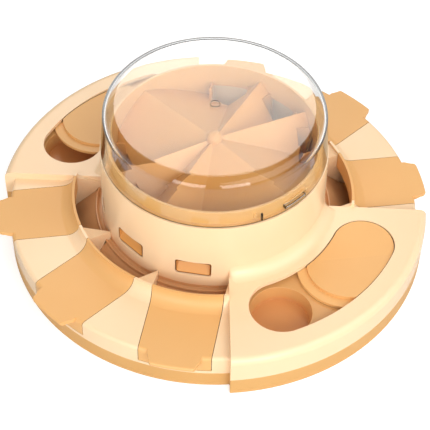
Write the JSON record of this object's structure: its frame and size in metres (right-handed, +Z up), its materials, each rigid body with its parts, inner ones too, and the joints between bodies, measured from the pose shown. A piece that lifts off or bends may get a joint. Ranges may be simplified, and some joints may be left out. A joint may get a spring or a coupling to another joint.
{
  "type": "treat puzzle feeder",
  "caption": "Round treat puzzle feeder with sliding gates round a drum hopper, a clear twist-lock dome, and lidded treat cups in two raised end lobes.",
  "frame": {"origin": "centre of the footprint on the floor", "axes": "+Z up along the drum's axis, +X along the centre line of one end lobe, -Y towards the near sliders"},
  "size_m": [0.307, 0.3112, 0.1189],
  "materials": {
    "cream_cover": "satin moulded",
    "tan_base": "satin moulded",
    "tan_slider": "satin moulded",
    "tan_inner": "satin moulded",
    "tan_hopper": "satin moulded",
    "clear_dome": "polished clear",
    "screw_steel": "plated"
  },
  "bodies": {
    "housing": {"base_floor": "tan_base", "base_rim": "tan_base", "ramp_near": "tan_inner", "ramp_far": "tan_inner", "frame_near": "cream_cover", "frame_far": "cream_cover", "lobe_right": "cream_cover", "lobe_left": "cream_cover", "cup_tray_right": "tan_inner", "cup_tray_left": "tan_inner", "drum": "cream_cover", "hopper_ring": "tan_hopper", "hopper_floor": "tan_hopper", "centre_column": "tan_hopper", "cover_screws": "screw_steel"},
    "dome": {"dome": "clear_dome"},
    "lid_right": {"lid_right": "tan_slider"},
    "lid_left": {"lid_left": "tan_slider"},
    "slider_1": {"slider_1": "tan_slider"},
    "slider_2": {"slider_2": "tan_slider"},
    "slider_3": {"slider_3": "tan_slider"},
    "slider_4": {"slider_4": "tan_slider"},
    "slider_5": {"slider_5": "tan_slider"},
    "slider_6": {"slider_6": "tan_slider"}
  },
  "joints": [
    {"name": "dome_twist", "type": "hinge", "parent": "housing", "child": "dome", "pos_m": [0, 0, 0.08], "axis": [0, 0, 1], "range_deg": [-14, 0]},
    {"name": "lid_right_swing", "type": "hinge", "parent": "housing", "child": "lid_right", "pos_m": [0, 0, 0.031], "axis": [0, 0, 1], "range_deg": [-21.5, 0]},
    {"name": "lid_left_swing", "type": "hinge", "parent": "housing", "child": "lid_left", "pos_m": [0, 0, 0.031], "axis": [0, 0, 1], "range_deg": [-13.3, 8.2]},
    {"name": "slider_1_pull", "type": "slide", "parent": "housing", "child": "slider_1", "axis": [-0.5878, -0.809, 0], "range_m": [0, 0.03]},
    {"name": "slider_2_pull", "type": "slide", "parent": "housing", "child": "slider_2", "axis": [0, -1, 0], "range_m": [0, 0.03]},
    {"name": "slider_3_pull", "type": "slide", "parent": "housing", "child": "slider_3", "axis": [0.5878, -0.809, 0], "range_m": [0, 0.03]},
    {"name": "slider_4_pull", "type": "slide", "parent": "housing", "child": "slider_4", "axis": [0.5878, 0.809, 0], "range_m": [0, 0.03]},
    {"name": "slider_5_pull", "type": "slide", "parent": "housing", "child": "slider_5", "axis": [0, 1, 0], "range_m": [0, 0.03]},
    {"name": "slider_6_pull", "type": "slide", "parent": "housing", "child": "slider_6", "axis": [-0.5878, 0.809, 0], "range_m": [0, 0.03]}
  ]
}
